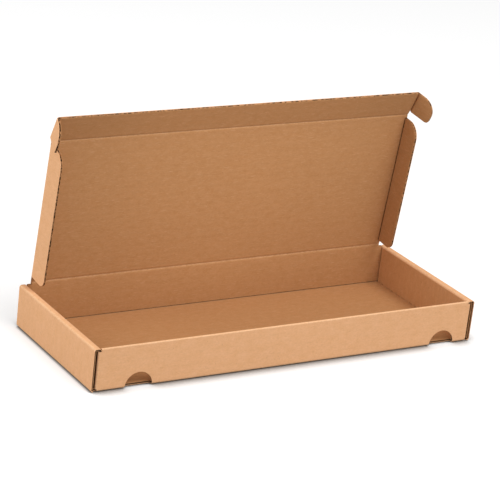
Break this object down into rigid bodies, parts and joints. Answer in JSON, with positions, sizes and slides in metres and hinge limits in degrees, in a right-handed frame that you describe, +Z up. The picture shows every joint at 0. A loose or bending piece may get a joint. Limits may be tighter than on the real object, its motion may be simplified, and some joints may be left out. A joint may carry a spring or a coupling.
{
  "type": "letterbox mailer box",
  "caption": "Flat one-piece folded corrugated mailer box with rolled side walls, finger notches and a hinged lid with tuck flap and side flaps.",
  "frame": {"origin": "middle of the tray's underside, on the surface that it stands on", "axes": "+X to the right along the long side, +Y to the back where the lid hangs, +Z up"},
  "size_m": [0.221, 0.082, 0.1143],
  "materials": {
    "tray_board": "plain brown kraft liner on fine-fluted corrugated board",
    "lid_board": "plain brown kraft liner on fine-fluted corrugated board",
    "tuck_board": "plain brown kraft liner on fine-fluted corrugated board",
    "flap_board": "plain brown kraft liner on fine-fluted corrugated board"
  },
  "bodies": {
    "tray": {"tray": "tray_board"},
    "lid": {"lid_panel": "lid_board"},
    "tuck": {"tuck_flap": "tuck_board"},
    "left_ear": {"tuck_ear_left": "flap_board"},
    "right_ear": {"tuck_ear_right": "flap_board"},
    "left_flap": {"lid_flap_left": "flap_board"},
    "right_flap": {"lid_flap_right": "flap_board"}
  },
  "joints": [
    {"name": "lid_hinge", "type": "hinge", "parent": "tray", "child": "lid", "pos_m": [0, 0.041, 0.02335], "axis": [-1, 0, 0], "range_deg": [-83, 35]},
    {"name": "tuck_fold", "type": "hinge", "parent": "lid", "child": "tuck", "pos_m": [0, 0.03154, 0.10037], "axis": [-1, 0, 0], "range_deg": [-75, 32]},
    {"name": "left_ear_fold", "type": "hinge", "parent": "tuck", "child": "left_ear", "pos_m": [-0.10535, 0.03154, 0.10037], "axis": [0, 0.4384, -0.8988], "range_deg": [-14, 6]},
    {"name": "right_ear_fold", "type": "hinge", "parent": "tuck", "child": "right_ear", "pos_m": [0.10535, 0.03154, 0.10037], "axis": [0, -0.4384, 0.8988], "range_deg": [-28, 12]},
    {"name": "left_flap_fold", "type": "hinge", "parent": "lid", "child": "left_flap", "pos_m": [-0.10405, 0.041, 0.02335], "axis": [0, 0.1219, -0.9925], "range_deg": [0, 90]},
    {"name": "right_flap_fold", "type": "hinge", "parent": "lid", "child": "right_flap", "pos_m": [0.10405, 0.041, 0.02335], "axis": [0, -0.1219, 0.9925], "range_deg": [0, 90]}
  ],
  "couplings": [
    {"joint": "tuck_fold", "follows": "lid_hinge", "ratio": 0.90361},
    {"joint": "left_ear_fold", "follows": "lid_hinge", "ratio": 0.16867},
    {"joint": "right_ear_fold", "follows": "lid_hinge", "ratio": 0.33735}
  ]
}
